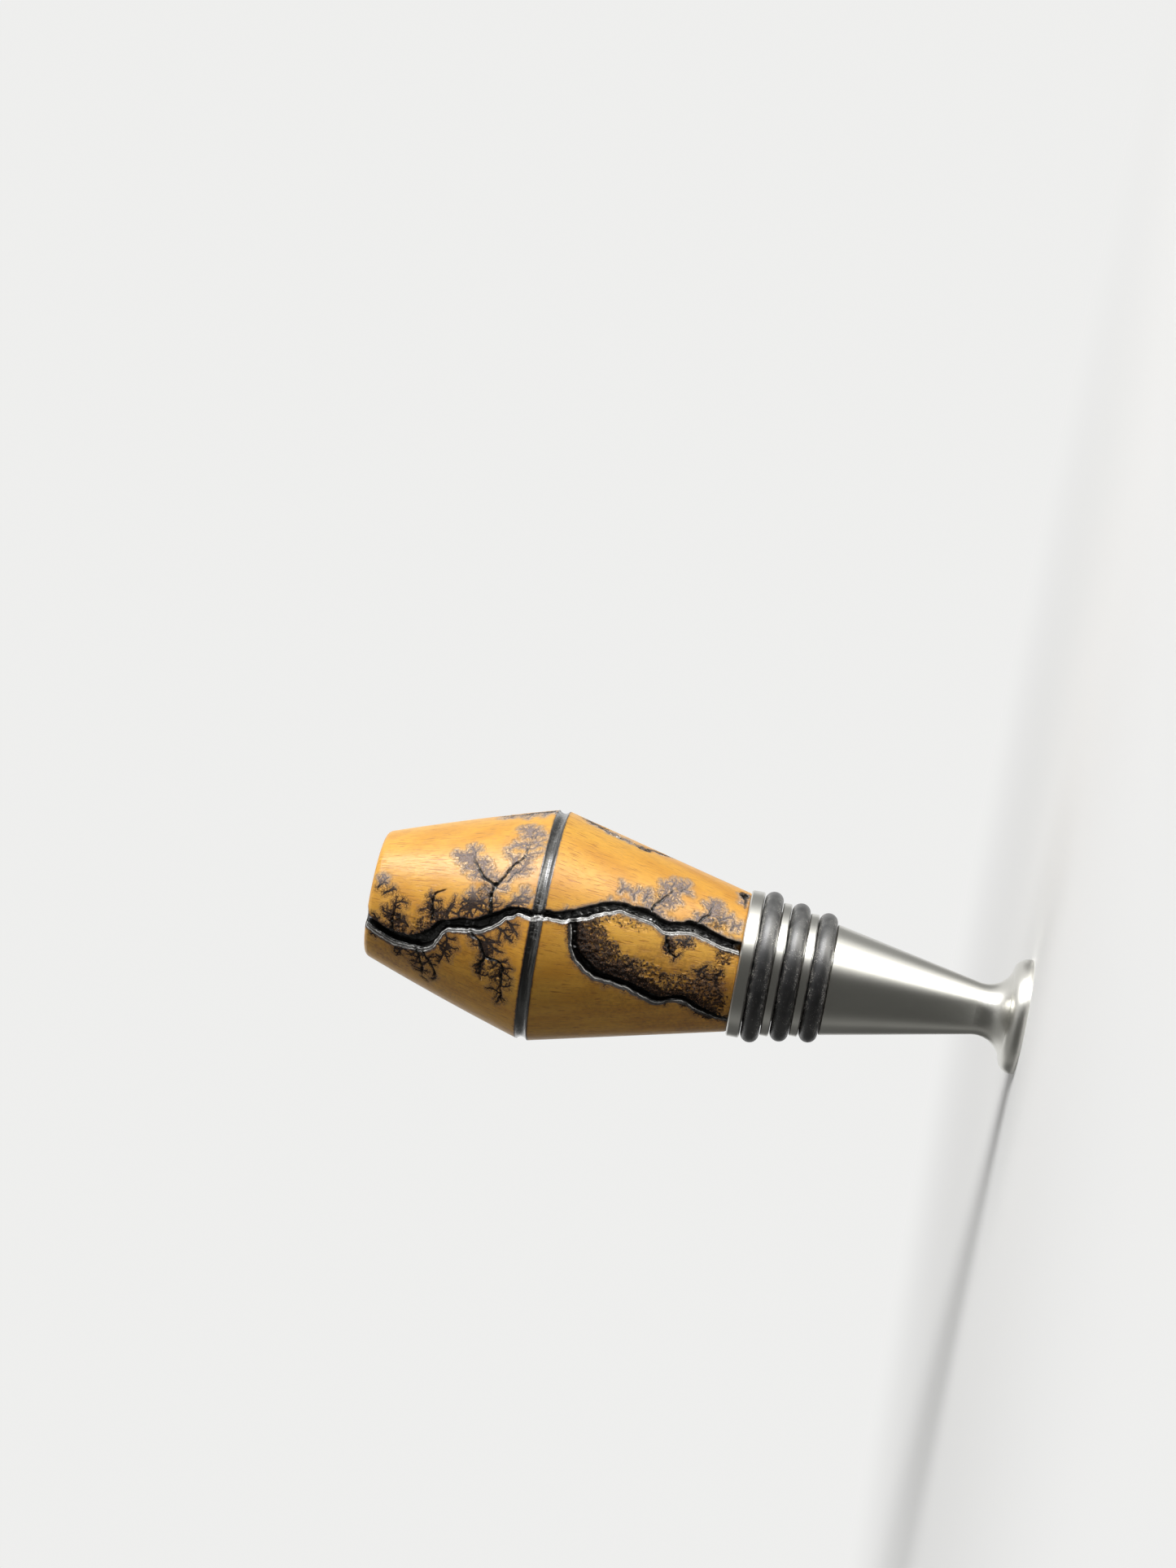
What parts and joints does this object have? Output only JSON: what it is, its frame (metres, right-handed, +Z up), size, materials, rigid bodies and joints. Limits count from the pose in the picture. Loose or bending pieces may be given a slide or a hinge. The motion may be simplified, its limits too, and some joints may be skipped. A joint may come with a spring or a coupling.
{
  "type": "bottle stopper",
  "caption": "Turned wooden bottle stopper head with burned fractal channels and a belly groove, screwed on a turned steel cone stopper with rubber O-rings.",
  "frame": {"origin": "centre of the steel foot's underside, on the turning axis", "axes": "+Z up along the turning axis from the steel foot to the flat top of the wooden head, -Y towards the burned front, +X towards the side with the second channel"},
  "size_m": [0.0332, 0.0332, 0.0934],
  "materials": {
    "burned_wood": "satin lacquer over turned beech, burned channels black",
    "steel": "finely turned, satin",
    "black_rubber": "smooth, slightly dusty"
  },
  "bodies": {
    "root": {"wooden_head": "burned_wood", "steel_stopper": "steel", "o_ring_upper": "black_rubber", "o_ring_middle": "black_rubber", "o_ring_lower": "black_rubber"}
  },
  "joints": []
}
